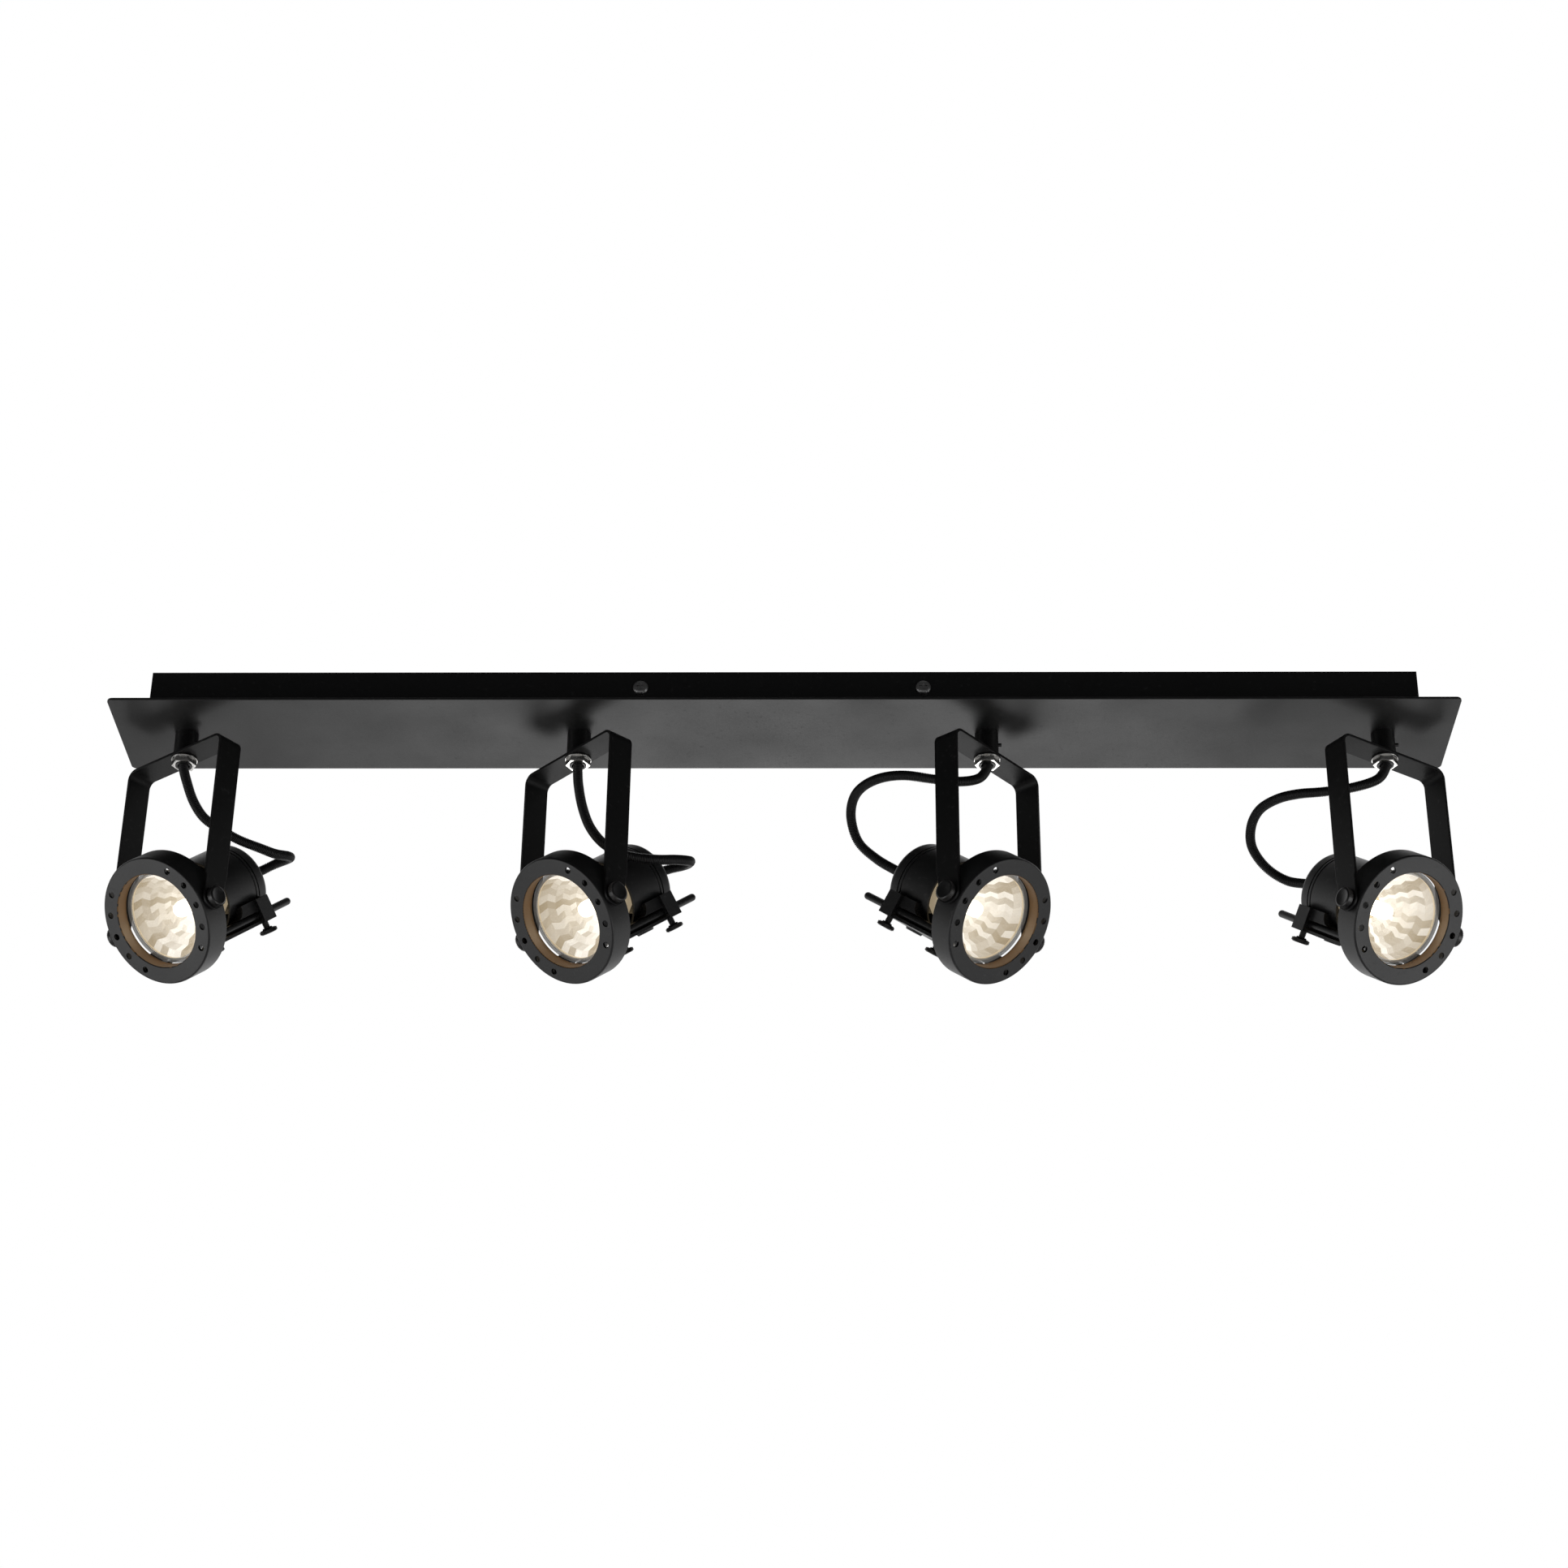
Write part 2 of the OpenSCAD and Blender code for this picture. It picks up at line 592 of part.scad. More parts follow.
module pivot_knob(spot, side) {
  knob_in = wall_inner - insert_height;
  edge = 0.4;
  color("#222222") at_head(spot) rotate([0, side * 90, 0]) union() {
    translate([0, 0, knob_in]) cylinder(d = knob_thread, h = leg_outer + body_gap + 1 - knob_in);
    translate([0, 0, leg_outer + body_gap]) rotate_extrude()
      polygon([[0, 0], [knob_diameter / 2 - edge, 0], [knob_diameter / 2, edge],
               [knob_diameter / 2, knob_height - edge], [knob_diameter / 2 - edge, knob_height], [0, knob_height]]);
  }
}

module clamp_screw(spot, side) {
  edge = 0.8;
  head = thumb_diameter / 2;
  color("#161616") at_head(spot) translate([side * rod_side, thumb_y, thumb_top]) union() {
    cylinder(d = thumb_thread, h = -rod_drop - rod_diameter / 2 - thumb_gap - thumb_top);
    rotate_extrude() polygon([[0, 0], [2.6, 0], [3, -0.7], [head - edge, -0.7], [head, -0.7 - edge],
                              [head, -thumb_height + edge], [head - edge, -thumb_height], [0, -thumb_height]]);
  }
}

// Sweep of a round tube along a list of points, with frames carried from one ring to the next
function unit(v) = v / norm(v);
function tangent(p, i) = unit(p[min(i + 1, len(p) - 1)] - p[max(i - 1, 0)]);
function carried(p, i) = i == 0 ? unit(cross(tangent(p, 0), [0.31, 0.95, 0.05])) :
  let (n = carried(p, i - 1), t = tangent(p, i)) unit(n - (n * t) * t);
function ring(p, i, r, sides) = let (t = tangent(p, i), n = carried(p, i), b = cross(t, n))
  [for (k = [0:sides - 1]) p[i] + r * (cos(360 * k / sides) * n + sin(360 * k / sides) * b)];

module tube(p, r, sides) {
  rings = len(p);
  points = [for (i = [0:rings - 1]) each ring(p, i, r, sides)];
  walls = [for (i = [0:rings - 2], k = [0:sides - 1]) let (a = i * sides + k, b = i * sides + (k + 1) % sides)
    each [[a, a + sides, b], [b, a + sides, b + sides]]];
  first = [for (k = [0:sides - 1]) k];
  last = [for (k = [sides - 1:-1:0]) (rings - 1) * sides + k];
  polyhedron(points, concat(walls, [first], [last]));
}

// The lead slides in the strain relief, so it leaves it straight for the whole travel
module lead(spot) {
  tilt = rest_tilt[spot - 1];
  relief_end = barrel_rear + relief_length;
  out_of_nut = [[0, 0, lead_top + lead_inside], [0, 0, lead_top - 1]];
  into_cap = [for (y = [relief_end + slide_travel + 2, relief_end - 1, barrel_rear - lead_inside])
    [0, y * cos(tilt), y * sin(tilt)]];
  color("#0d0d0d") at_yoke(spot)
    tube(concat(out_of_nut, lead_routes[spot - 1], into_cap), lead_diameter / 2, lead_sides);
}

canopy_box();
face_plate();
mounting_bracket();
cover_screws();
terminal_block();
supply_grommet();
swivel_stems();
swivel_nuts();
for (spot = [1:4]) {
  yoke(spot);
  lead(spot);
  bezel(spot);
  guide_rods(spot);
  lamp(spot);
  lampholder(spot);
  barrel(spot);
  rear_cap(spot);
  saddle(spot);
  pivot_knob(spot, 1);
  pivot_knob(spot, -1);
  clamp_screw(spot, 1);
  clamp_screw(spot, -1);
}
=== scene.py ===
# %% [markdown]
# # A four-spot ceiling bar
# The fixture is a long black sheet-metal canopy. Four yokes hang from it on short stems, and each holds a
# round spot head that swivels, tilts and carries a sliding lamp housing. The CAD model already has every part
# in its place, so this script loads it, gives each part a real surface, and rebuilds the few parts that a
# plain solid can't show: the coiled sleeves on the leads, the knurled knobs and the lamps with their faceted
# reflectors.

import json
import math

import bmesh
import bpy
from mathutils import Matrix, Vector

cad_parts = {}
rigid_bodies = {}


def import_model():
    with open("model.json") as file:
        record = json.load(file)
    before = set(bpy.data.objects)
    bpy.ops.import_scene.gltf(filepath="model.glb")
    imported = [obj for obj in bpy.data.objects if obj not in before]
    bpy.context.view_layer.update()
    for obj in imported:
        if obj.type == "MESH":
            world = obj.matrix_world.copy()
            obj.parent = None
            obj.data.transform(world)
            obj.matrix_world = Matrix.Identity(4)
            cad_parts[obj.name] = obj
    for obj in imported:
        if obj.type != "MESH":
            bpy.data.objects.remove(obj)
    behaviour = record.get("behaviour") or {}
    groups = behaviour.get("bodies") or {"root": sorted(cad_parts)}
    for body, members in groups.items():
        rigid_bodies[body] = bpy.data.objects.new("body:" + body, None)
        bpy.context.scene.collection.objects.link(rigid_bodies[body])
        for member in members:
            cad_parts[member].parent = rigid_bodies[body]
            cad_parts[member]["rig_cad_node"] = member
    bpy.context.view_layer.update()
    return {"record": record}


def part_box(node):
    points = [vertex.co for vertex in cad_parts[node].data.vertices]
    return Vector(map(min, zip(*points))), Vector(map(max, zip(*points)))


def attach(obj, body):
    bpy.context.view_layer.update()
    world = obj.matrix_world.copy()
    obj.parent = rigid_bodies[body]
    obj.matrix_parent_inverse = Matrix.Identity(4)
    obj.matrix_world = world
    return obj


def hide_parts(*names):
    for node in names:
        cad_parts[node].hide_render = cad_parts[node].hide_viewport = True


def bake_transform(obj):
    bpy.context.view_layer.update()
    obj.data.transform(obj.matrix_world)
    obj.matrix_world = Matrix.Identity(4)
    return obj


MM = 0.001
SPOTS = (1, 2, 3, 4)
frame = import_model()

# %% [markdown]
# ## Camera
# A bar like this is seen from below and in front, so the camera stands about a metre and a half away, lower
# than the lamps, and looks up by thirty degrees. A long lens keeps the bar's two ends nearly the same size.
# Three turns place it: up from the horizon, a little to the side, and a slight roll.

# %% Camera
LENS = 73.99
CAMERA_AT = Vector((0.036, -1.4754, -0.9006))
LOOK_UP = 0.5219
LOOK_ASIDE = 0.0237
ROLL = -0.0115


def turn(angle, axis):
    return Matrix.Rotation(angle, 4, axis)


camera = bpy.data.objects.new("camera", bpy.data.cameras.new("camera"))
camera.data.lens = LENS
camera.data.sensor_width = 36.0
camera.data.clip_end = 50.0
camera.matrix_world = (
    Matrix.Translation(CAMERA_AT)
    @ turn(LOOK_ASIDE, "Z")
    @ turn(LOOK_UP, "X")
    @ turn(ROLL, "Y")
    @ turn(math.pi / 2, "X")
)
bpy.context.scene.collection.objects.link(camera)
bpy.context.scene.camera = camera
bpy.context.scene.view_settings.view_transform = "Standard"
print("camera distance", round(CAMERA_AT.length, 3))

# %% [markdown]
# ## Where each head is
# Every head is the same object, turned about its stem and tilted about its two pivot knobs. Its own frame has
# X along the tilt axis, Y straight back from the light opening and Z up. One matrix per spot takes a shape
# from that frame into place, so each shape is built only once.

# %% Frames of the heads
STEM_X = (-0.3185, -0.1085, 0.1085, 0.3185)
PIVOT_Z = -0.131
TURNS = (-37.0, -46.5, 50.5, 34.5)
TILTS = (41.0, 39.0, 38.0, 36.5)


def yoke_frame(spot):
    at = Vector((STEM_X[spot - 1], 0, PIVOT_Z))
    return Matrix.Translation(at) @ turn(math.radians(TURNS[spot - 1]), "Z")


def head_frame(spot):
    return yoke_frame(spot) @ turn(math.radians(TILTS[spot - 1]), "X")


for spot in SPOTS:
    low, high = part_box(f"lamp_{spot}")
    middle = (low + high) / 2
    back = head_frame(spot).inverted() @ middle
    print("lamp", spot, "middle in its head's frame, mm", [round(c / MM, 1) for c in back])

# %% [markdown]
# ## Shader arithmetic
# A procedural finish is mostly arithmetic on masks. Written as nodes it is hard to read, so one small class
# wraps a socket and turns each operator into the Math node it stands for. A second method adds any other node
# from its type, its settings and its sockets.

# %% Shader helper
class Value:
    """A socket of a shader tree, with arithmetic."""

    def __init__(self, graph, socket):
        self.graph = graph
        self.socket = socket

    def math(self, operation, other, swap=False):
        pair = (other, self) if swap else (self, other)
        return self.graph.add("ShaderNodeMath", {"operation": operation}, {0: pair[0], 1: pair[1]})

    def __add__(self, other):
        return self.math("ADD", other)

    def __sub__(self, other):
        return self.math("SUBTRACT", other)

    def __rsub__(self, other):
        return self.math("SUBTRACT", other, swap=True)

    def __mul__(self, other):
        return self.math("MULTIPLY", other)

    __radd__ = __add__
    __rmul__ = __mul__


class Graph:
    """A material whose nodes are added by name."""

    def __init__(self, name):
        self.material = bpy.data.materials.new(name)
        self.material.use_nodes = True
        self.tree = self.material.node_tree
        self.tree.nodes.clear()

    @staticmethod
    def find(sockets, key):
        if isinstance(key, int):
            return sockets[key]
        exact = [s for s in sockets if s.identifier == key]
        return exact[0] if exact else sockets[key]

    def add(self, kind, settings=None, inputs=None, out=0):
        node = self.tree.nodes.new(kind)
        for key, value in (settings or {}).items():
            setattr(node, key, value)
        for key, value in (inputs or {}).items():
            socket = self.find(node.inputs, key)
            if isinstance(value, Value):
                self.tree.links.new(value.socket, socket)
            else:
                socket.default_value = value
        return Value(self, self.find(node.outputs, out)) if len(node.outputs) else None

    def noise(self, vector, scale, detail=2.0):
        return self.add(
            "ShaderNodeTexNoise", None, {"Vector": vector, "Scale": scale, "Detail": detail}, "Fac"
        )

    def spread(self, value, low, high):
        """value's middle range stretched to 0..1"""
        return self.add(
            "ShaderNodeMapRange",
            {"interpolation_type": "SMOOTHSTEP"},
            {"Value": value, "From Min": low, "From Max": high},
        )

    def mix(self, factor, a, b):
        return self.add(
            "ShaderNodeMix",
            {"data_type": "RGBA"},
            {"Factor_Float": factor, "A_Color": a, "B_Color": b},
            "Result_Color",
        )

    def bump(self, height, distance, strength=1.0):
        return self.add(
            "ShaderNodeBump", None, {"Height": height, "Distance": distance, "Strength": strength}
        )

    def edges(self, radius):
        """1 on sharp outer edges, 0 on flats: how far the rounded normal leans from the real one"""
        rounded = self.add("ShaderNodeBevel", {"samples": 4}, {"Radius": radius})
        real = self.add("ShaderNodeNewGeometry", None, None, "Normal")
        same = self.add("ShaderNodeVectorMath", {"operation": "DOT_PRODUCT"}, {0: rounded, 1: real}, "Value")
        return self.spread(1 - same, 0.02, 0.2)

    def finish(self, **inputs):
        names = {key.replace("_", " "): value for key, value in inputs.items()}
        shader = self.add("ShaderNodeBsdfPrincipled", None, names)
        self.add("ShaderNodeOutputMaterial", None, {"Surface": shader})
        return self.material


def rgb(red, green, blue):
    return (red, green, blue, 1.0)


# %% [markdown]
# ## Black powder coat
# The sheet parts and castings are powder coated in satin black. Such a coat is never flat: the powder melts
# into a fine orange peel, gathers unevenly over a few centimetres, and wears thin on outer edges. Three
# noises and an edge mask give that: the finest one drives the bump, the wide one shifts gloss and shade.

# %% Painted metals
def painted(name, base, worn, roughness, peel, wear=0.5, shine=0.5):
    graph = Graph(name)
    where = graph.add("ShaderNodeTexCoord", None, None, "Object")
    fine = graph.noise(where, 1500, 3.0)
    wide = graph.noise(where, 22, 2.0)
    dust = graph.spread(graph.noise(where, 420, 4.0), 0.60, 0.72)
    edge = graph.edges(0.0007) * wear * graph.spread(graph.noise(where, 160, 3.0), 0.35, 0.7)
    colour = graph.mix(graph.spread(wide, 0.3, 0.7) * 0.5, rgb(*base), rgb(*(1.35 * c for c in base)))
    colour = graph.mix(dust * 0.10, colour, rgb(0.16, 0.16, 0.16))
    colour = graph.mix(edge, colour, rgb(*worn))
    return graph.finish(
        Base_Color=colour,
        Roughness=(wide - 0.5) * 0.16 + (fine - 0.5) * 0.12 + dust * 0.08 - edge * 0.1 + roughness,
        Normal=graph.bump(fine, peel),
        Specular_IOR_Level=shine,
    )


sheet_black = painted("sheet black", (0.0050, 0.0050, 0.0052), (0.06, 0.06, 0.06), 0.36, 0.00002, 0.3)
cast_black = painted("cast black", (0.0075, 0.0075, 0.0080), (0.08, 0.08, 0.08), 0.42, 0.00003, 0.4)
screw_black = painted("screw black", (0.0060, 0.0060, 0.0065), (0.14, 0.13, 0.12), 0.32, 0.00002, 0.6)
strip_black = painted("strip black", (0.0050, 0.0050, 0.0052), (0.06, 0.06, 0.06), 0.46, 0.00002, 0.3, 0.25)
plate_black = painted("plate black", (0.0050, 0.0050, 0.0052), (0.06, 0.06, 0.06), 0.47, 0.00001, 0.3, 0.62)
# painted light: this bronze colour stands in for the lamp's warm light on the black collar wall
collar_painted_lamplight = painted("collar painted lamplight", (0.170, 0.088, 0.026), (0.20, 0.13, 0.06), 0.38, 0.00003, 0.3)
print("painted materials", [m.name for m in (sheet_black, cast_black, screw_black, strip_black, plate_black)])

# %% [markdown]
# ## Bright metal
# The swivel nuts are nickel plated and the hidden bracket is galvanised steel. Both reflect, so their detail
# is in the roughness: turning marks on the nuts, and large dull crystals on the zinc.

# %% Bright metals
def metal(name, tint, roughness, scale, streak, bump_height):
    graph = Graph(name)
    where = graph.add("ShaderNodeTexCoord", None, None, "Object")
    stretched = graph.add("ShaderNodeMapping", None, {"Vector": where, "Scale": (1, 1, streak)})
    marks = graph.noise(stretched, scale, 4.0)
    stain = graph.spread(graph.noise(where, 90, 3.0), 0.5, 0.75)
    darker = rgb(*(0.55 * c for c in tint))
    return graph.finish(
        Base_Color=graph.mix(stain * 0.5, rgb(*tint), darker),
        Metallic=1.0,
        Roughness=marks * 0.22 + stain * 0.12 + roughness,
        Normal=graph.bump(marks, bump_height),
    )


nickel = metal("nickel plate", (0.74, 0.73, 0.71), 0.10, 700, 6.0, 0.00002)
blackened = metal("blackened steel", (0.40, 0.40, 0.40), 0.24, 700, 1.0, 0.00002)


def galvanised():
    graph = Graph("galvanised steel")
    where = graph.add("ShaderNodeTexCoord", None, None, "Object")
    crystals = graph.add("ShaderNodeTexVoronoi", None, {"Vector": where, "Scale": 130.0}, "Color")
    grey = graph.add("ShaderNodeSeparateColor", None, {"Color": crystals}, "Red")
    scratch = graph.noise(where, 900, 3.0)
    return graph.finish(
        Base_Color=graph.mix(grey, rgb(0.42, 0.43, 0.43), rgb(0.62, 0.63, 0.64)),
        Metallic=1.0,
        Roughness=grey * 0.2 + scratch * 0.1 + 0.3,
        Normal=graph.bump(scratch, 0.00002),
    )


zinc = galvanised()

# %% [markdown]
# ## Ceramic, plastic and rubber
# The lampholders are unglazed steatite, the terminal block is moulded, the grommet is rubber. All three
# are dull with a fine grain, so one recipe with different numbers serves them.

# %% Dull materials
def dull(name, base, roughness, grain_scale, grain_height, speck=0.3, subsurface=0.0):
    graph = Graph(name)
    where = graph.add("ShaderNodeTexCoord", None, None, "Object")
    grain = graph.noise(where, grain_scale, 4.0)
    patches = graph.noise(where, 60, 2.0)
    darker = rgb(*(0.72 * c for c in base))
    return graph.finish(
        Base_Color=graph.mix(graph.spread(patches, 0.35, 0.75) * speck, rgb(*base), darker),
        Roughness=grain * 0.18 + roughness,
        Normal=graph.bump(grain, grain_height),
        Subsurface_Weight=subsurface,
    )


ceramic = dull("steatite", (0.80, 0.77, 0.70), 0.38, 900, 0.00003)
terminal_white = dull("terminal moulding", (0.78, 0.76, 0.70), 0.35, 500, 0.00003)
grommet_black = dull("grommet rubber", (0.02, 0.02, 0.02), 0.62, 700, 0.00004)
sleeve_black = dull("sleeve", (0.010, 0.010, 0.011), 0.30, 600, 0.00002)

# %% [markdown]
# ## Leads
# Each lead leaves the hollow stem through the nut, loops beside the head and runs into the back of the lamp
# housing. Its sleeve is a tightly wound coil, so the outline is a row of fine teeth. The centreline is a
# smooth curve through the CAD route. Geometry Nodes put one thin ring on it for each winding and sweep the
# core inside, and the rings are what the light catches.

# %% Lead routes
STEM_FOOT = -0.0411
RELIEF_END = 0.067
SLIDE = 0.010
ROUTES = {
    1: ((2, 2, 80), (4, 6, 70), (8, 11, 61), (14, 18, 55), (19, 27, 51),
        (24, 37, 49), (26, 47, 49), (24, 58, 53), (17, 65, 57), (7, 65, 57)),
    2: ((0, 1, 79), (2, 3, 65), (6, 6, 52), (13, 11, 41), (21, 20, 35),
        (28, 33, 35), (29, 45, 39), (27, 55, 43), (20, 63, 48), (9, 68, 52)),
    3: ((-5, 2, 81), (-16, 7, 76), (-27, 16, 76), (-35, 28, 79), (-38, 41, 81),
        (-36, 55, 82), (-30, 67, 81), (-21, 76, 76), (-11, 79, 67), (-3, 73, 58)),
    4: ((-5, 2, 81), (-16, 9, 76), (-27, 20, 75), (-34, 32, 77), (-37, 45, 79),
        (-37, 59, 79), (-32, 72, 76), (-24, 81, 70), (-13, 83, 62), (-4, 77, 54)),
}


def smooth_path(points, steps):
    """Catmull-Rom curve through the points"""
    line = []
    ends = [2 * points[0] - points[1], *points, 2 * points[-1] - points[-2]]
    for a, b, c, d in zip(ends, ends[1:], ends[2:], ends[3:]):
        for k in range(steps):
            t = k / steps
            square = (2 * a - 5 * b + 4 * c - d) * t**2
            cube = (3 * b - a - 3 * c + d) * t**3
            line.append(0.5 * (2 * b + (c - a) * t + square + cube))
    return [*line, points[-1]]


def lead_path(spot):
    yoke = yoke_frame(spot)
    head = head_frame(spot)
    stem = Vector((STEM_X[spot - 1], 0, STEM_FOOT))
    points = [stem + Vector((0, 0, 0.003)), stem - Vector((0, 0, 0.001))]
    points += [yoke @ (Vector(p) * MM) for p in ROUTES[spot]]
    points += [head @ Vector((0, y, 0)) for y in (RELIEF_END + SLIDE + 0.002, RELIEF_END - 0.001, 0.055)]
    return smooth_path(points, 10)


def path_length(line):
    return sum((b - a).length for a, b in zip(line, line[1:]))


lead_lines = {spot: lead_path(spot) for spot in SPOTS}
print("lead lengths, mm", [round(path_length(line) / MM, 1) for line in lead_lines.values()])

# %% [markdown]
# ### The coil tree
# The tree takes a curve and three sizes. It samples the curve once per winding, turns a small ring to face
# along it there, and joins the rings to the core. A ring needs only ten by four faces at this size.

# %% Geometry Nodes helper
class Nodes:
    """A Geometry Nodes tree with named inputs."""

    def __init__(self, name, **inputs):
        self.tree = bpy.data.node_groups.new(name, "GeometryNodeTree")
        self.tree.interface.new_socket("Geometry", in_out="INPUT", socket_type="NodeSocketGeometry")
        self.tree.interface.new_socket("Geometry", in_out="OUTPUT", socket_type="NodeSocketGeometry")
        for key, value in inputs.items():
            kind = "NodeSocketInt" if isinstance(value, int) else "NodeSocketFloat"
            if isinstance(value, bpy.types.Material):
                kind = "NodeSocketMaterial"
            socket = self.tree.interface.new_socket(key, in_out="INPUT", socket_type=kind)
            if kind != "NodeSocketMaterial":
                socket.default_value = value
        self.start = self.tree.nodes.new("NodeGroupInput")
        self.end = self.tree.nodes.new("NodeGroupOutput")
        self.inputs = inputs

    def given(self, name):
        return self.start.outputs[name]

    def add(self, kind, settings=None, inputs=None, out=0):
        node = self.tree.nodes.new(kind)
        for key, value in (settings or {}).items():
            setattr(node, key, value)
        for key, value in (inputs or {}).items():
            socket = node.inputs[key]
            for source in value if isinstance(value, list) else [value]:
                if isinstance(source, bpy.types.NodeSocket):
                    self.tree.links.new(source, socket)
                else:
                    socket.default_value = source
        return node.outputs[out]

    def math(self, operation, a, b=0.0):
        return self.add("ShaderNodeMath", {"operation": operation}, {0: a, 1: b})

    def close(self, geometry):
        """Make instances real, set the material and hand the result out"""
        real = self.add("GeometryNodeRealizeInstances", None, {"Geometry": geometry})
        coat = {"Geometry": real, "Material": self.given("Material")}
        done = self.add("GeometryNodeSetMaterial", None, coat)
        self.tree.links.new(done, self.end.inputs[0])

    def grow(self, name, source, **values):
        """Run the tree on a source object and return the result as a plain mesh object"""
        modifier = source.modifiers.new("tree", "NODES")
        modifier.node_group = self.tree
        for item in self.tree.interface.items_tree:
            if item.in_out == "INPUT" and item.name in self.inputs:
                modifier[item.identifier] = values.get(item.name, self.inputs[item.name])
        bpy.context.view_layer.update()
        graph = bpy.context.evaluated_depsgraph_get()
        mesh = bpy.data.meshes.new_from_object(source.evaluated_get(graph))
        mesh.name = name
        bpy.data.objects.remove(source)
        made = bpy.data.objects.new(name, mesh)
        bpy.context.scene.collection.objects.link(made)
        return made


# %% Coiled sleeve tree
coil = Nodes("coiled sleeve", Pitch=0.0009, Radius=0.0023, Wire=0.0004, Material=sleeve_black)


def build_coil():
    line = coil.given("Geometry")
    spacing = {"Curve": line, "Length": coil.given("Pitch")}
    stations = coil.add("GeometryNodeCurveToPoints", {"mode": "LENGTH"}, spacing)
    stations_turn = stations.node.outputs["Rotation"]
    around = {"Resolution": 14, "Radius": coil.given("Radius")}
    ring = coil.add("GeometryNodeCurvePrimitiveCircle", None, around)
    wire = coil.add("GeometryNodeCurvePrimitiveCircle", None, {"Resolution": 5, "Radius": coil.given("Wire")})
    winding = coil.add("GeometryNodeCurveToMesh", None, {"Curve": ring, "Profile Curve": wire})
    placed = {"Points": stations, "Instance": winding, "Rotation": stations_turn}
    windings = coil.add("GeometryNodeInstanceOnPoints", None, placed)
    tube = coil.add("GeometryNodeCurvePrimitiveCircle", None, around)
    core = coil.add(
        "GeometryNodeCurveToMesh", None, {"Curve": line, "Profile Curve": tube, "Fill Caps": True}
    )
    both = coil.add("GeometryNodeJoinGeometry", None, {"Geometry": [windings, core]})
    shaded = coil.add("GeometryNodeSetShadeSmooth", None, {"Geometry": both})
    coil.close(shaded)


build_coil()


def curve_object(line):
    data = bpy.data.curves.new("line", "CURVE")
    data.dimensions = "3D"
    spline = data.splines.new("POLY")
    spline.points.add(len(line) - 1)
    for point, place in zip(spline.points, line):
        point.co = (*place, 1)
    made = bpy.data.objects.new("line", data)
    bpy.context.scene.collection.objects.link(made)
    return made


for spot in SPOTS:
    line = lead_lines[spot]
    lead = coil.grow(f"sleeved_lead_{spot}", curve_object(line))
    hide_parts(f"lead_{spot}")
    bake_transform(lead)
    path_length(line)
    print(lead.name, len(lead.data.polygons), "faces")

# %% [markdown]
# ## Folded and cast parts
# A CAD solid has perfectly sharp edges, which catch no light and look like paper. A copy of each one is
# merged into clean faces and gets a narrow bevel, as the paint's own thickness gives every real edge. The
# bevel has two segments and hardened normals, so the flats stay flat.

# %% Softened copies of the CAD solids
def body_of_node(node):
    for body, nodes in frame["record"]["behaviour"]["bodies"].items():
        if node in nodes:
            return body
    raise KeyError(node)


def slot_of_node(node):
    return next(s["material_slot"] for s in frame["record"]["subparts"] if s["node"] == node)


def place(mesh_object, node, material=None):
    """Hand a finished mesh to the CAD body of a node that it replaces"""
    if material is not None:
        mesh_object.data.materials.clear()
        mesh_object.data.materials.append(material)
    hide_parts(node)
    slot_of_node(node)
    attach(mesh_object, body_of_node(node))
    return mesh_object


def cad_copy(node, name, flat_angle=0.6):
    """The node's mesh with its loose triangles merged into clean faces"""
    source = next(o for o in bpy.data.objects if o.get("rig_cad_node") == node)
    mesh = source.data.copy()
    mesh.name = name
    work = bmesh.new()
    work.from_mesh(mesh)
    bmesh.ops.remove_doubles(work, verts=work.verts, dist=0.000002)
    bmesh.ops.dissolve_limit(
        work, angle_limit=math.radians(flat_angle), verts=work.verts, edges=work.edges
    )
    work.to_mesh(mesh)
    work.free()
    made = bpy.data.objects.new(name, mesh)
    bpy.context.scene.collection.objects.link(made)
    return made


def soften(made, width, angle=35.0):
    for polygon in made.data.polygons:
        polygon.use_smooth = True
    bevel = made.modifiers.new("edge", "BEVEL")
    bevel.width = width
    bevel.segments = 2
    bevel.limit_method = "ANGLE"
    bevel.angle_limit = math.radians(angle)
    bevel.harden_normals = True
    bevel.use_clamp_overlap = True
    flats = made.modifiers.new("flats", "WEIGHTED_NORMAL")
    flats.weight = 100
    flats.keep_sharp = True
    return made


FINISHES = {
    "canopy_box": (sheet_black, 0.35),
    "face_plate": (plate_black, 0.35),
    "mounting_bracket": (zinc, 0.3),
    "cover_screws": (blackened, 0.12),
    "terminal_block": (terminal_white, 0.4),
    "supply_grommet": (grommet_black, 0.4),
    "swivel_stems": (sheet_black, 0.2),
    "swivel_nuts": (nickel, 0.2),
    "yoke": (strip_black, 0.3),
    "bezel": (cast_black, 0.25),
    "guide_rods": (sheet_black, 0.15),
    "lampholder": (ceramic, 0.4),
    "barrel": (cast_black, 0.15),
    "rear_cap": (cast_black, 0.15),
    "saddle": (cast_black, 0.3),
}


def family(node):
    return node[:-2] if node[-2] == "_" and node[-1].isdigit() else node


all_nodes = [s["node"] for s in frame["record"]["subparts"]]
for node in all_nodes:
    if family(node) in FINISHES:
        material, width = FINISHES[family(node)]
        place(soften(cad_copy(node, f"{node}_solid"), width * MM), node, material)
print("softened", sum(family(n) in FINISHES for n in all_nodes), "solids")

# %% [markdown]
# The collar round each lamp is black like the rest of the bezel. Its warm bronze colour here is painted
# lamplight: it stands in for the lamp's warm light falling on the collar wall. Its faces are the ones close
# to the collar's own radius, in front of the pivot.

# %% Collars
COLLAR_RADIUS = 0.0251
COLLAR_FRONT, COLLAR_BACK = -0.0078, -0.0009


